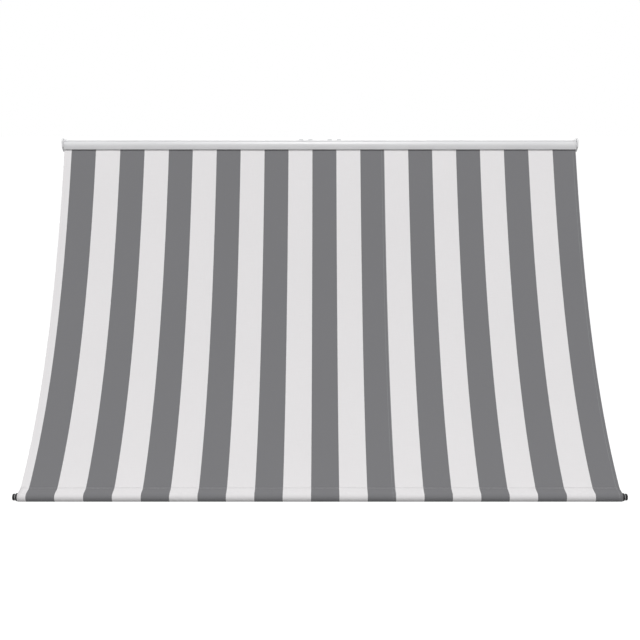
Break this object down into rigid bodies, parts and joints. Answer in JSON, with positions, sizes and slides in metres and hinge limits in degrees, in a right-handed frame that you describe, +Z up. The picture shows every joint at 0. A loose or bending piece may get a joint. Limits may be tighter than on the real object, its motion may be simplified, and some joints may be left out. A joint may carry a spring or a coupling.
{
  "type": "fabric awning",
  "caption": "Striped drop-arm fabric awning: wall head box with motorised roller, two swinging arms and a cloth hemmed round a front bar.",
  "frame": {"origin": "centre of the head box's middle wall bracket, on its back face, at the height of the roller's axis", "axes": "+X to the right along the roller as seen from the front, +Y into the wall, +Z up; the cloth reaches out toward -Y"},
  "size_m": [3.052, 1.2796, 1.7521],
  "materials": {
    "white_coated_aluminium": "white powder coat, satin",
    "galvanised_steel": "galvanised",
    "zinc_plated_steel": "zinc plated",
    "cast_aluminium": "cast, blasted",
    "nylon": "moulded",
    "black_plastic": "moulded, satin",
    "striped_cloth": "woven awning cloth with grey and white block stripes"
  },
  "bodies": {
    "root": {"back_profile": "white_coated_aluminium", "front_hood": "white_coated_aluminium", "left_end_plate": "white_coated_aluminium", "right_end_plate": "white_coated_aluminium", "left_upper_plate_screw": "zinc_plated_steel", "left_lower_plate_screw": "zinc_plated_steel", "right_upper_plate_screw": "zinc_plated_steel", "right_lower_plate_screw": "zinc_plated_steel", "left_head_bracket": "galvanised_steel", "centre_head_bracket": "galvanised_steel", "right_head_bracket": "galvanised_steel", "left_clamp_screw": "zinc_plated_steel", "centre_clamp_screw": "zinc_plated_steel", "right_clamp_screw": "zinc_plated_steel", "idler_bush": "nylon", "motor_housing": "zinc_plated_steel", "motor_head": "black_plastic", "cable_gland": "black_plastic", "left_pivot_bracket": "galvanised_steel", "right_pivot_bracket": "galvanised_steel", "left_pivot_pin": "zinc_plated_steel", "right_pivot_pin": "zinc_plated_steel", "awning_cloth": "striped_cloth"},
    "roller": {"roller_tube": "galvanised_steel", "cloth_roll": "striped_cloth", "idler_plug": "nylon", "drive_wheel": "nylon", "motor_crown": "nylon"},
    "left_arm": {"left_arm_tube": "white_coated_aluminium", "left_arm_foot": "cast_aluminium", "left_arm_tip": "cast_aluminium", "left_pivot_bush": "nylon"},
    "right_arm": {"right_arm_tube": "white_coated_aluminium", "right_arm_foot": "cast_aluminium", "right_arm_tip": "cast_aluminium", "right_pivot_bush": "nylon"},
    "front_bar": {"front_tube": "white_coated_aluminium", "hem_pocket": "striped_cloth", "left_bar_plug": "black_plastic", "right_bar_plug": "black_plastic", "left_saddle": "white_coated_aluminium", "right_saddle": "white_coated_aluminium", "left_tip_pin": "zinc_plated_steel", "right_tip_pin": "zinc_plated_steel"}
  },
  "joints": [
    {"name": "left_arm_swing", "type": "hinge", "parent": "root", "child": "left_arm", "pos_m": [-1.4, -0.045, -1.30169], "axis": [-1, 0, 0], "range_deg": [0, 106.7], "deforming": ["awning_cloth"]},
    {"name": "right_arm_swing", "type": "hinge", "parent": "root", "child": "right_arm", "pos_m": [1.4, -0.045, -1.30169], "axis": [-1, 0, 0], "range_deg": [0, 106.7]},
    {"name": "front_bar_turn", "type": "hinge", "parent": "left_arm", "child": "front_bar", "pos_m": [-1.4, -1.22056, -1.67556], "axis": [-1, 0, 0], "range_deg": [-106.7, 0]},
    {"name": "roller_spin", "type": "hinge", "parent": "root", "child": "roller", "pos_m": [0, -0.036, 0], "axis": [-1, 0, 0], "range_deg": [0, 5335]}
  ],
  "couplings": [
    {"joint": "right_arm_swing", "follows": "left_arm_swing", "ratio": 1},
    {"joint": "front_bar_turn", "follows": "left_arm_swing", "ratio": -1},
    {"joint": "roller_spin", "follows": "left_arm_swing", "ratio": 50}
  ]
}
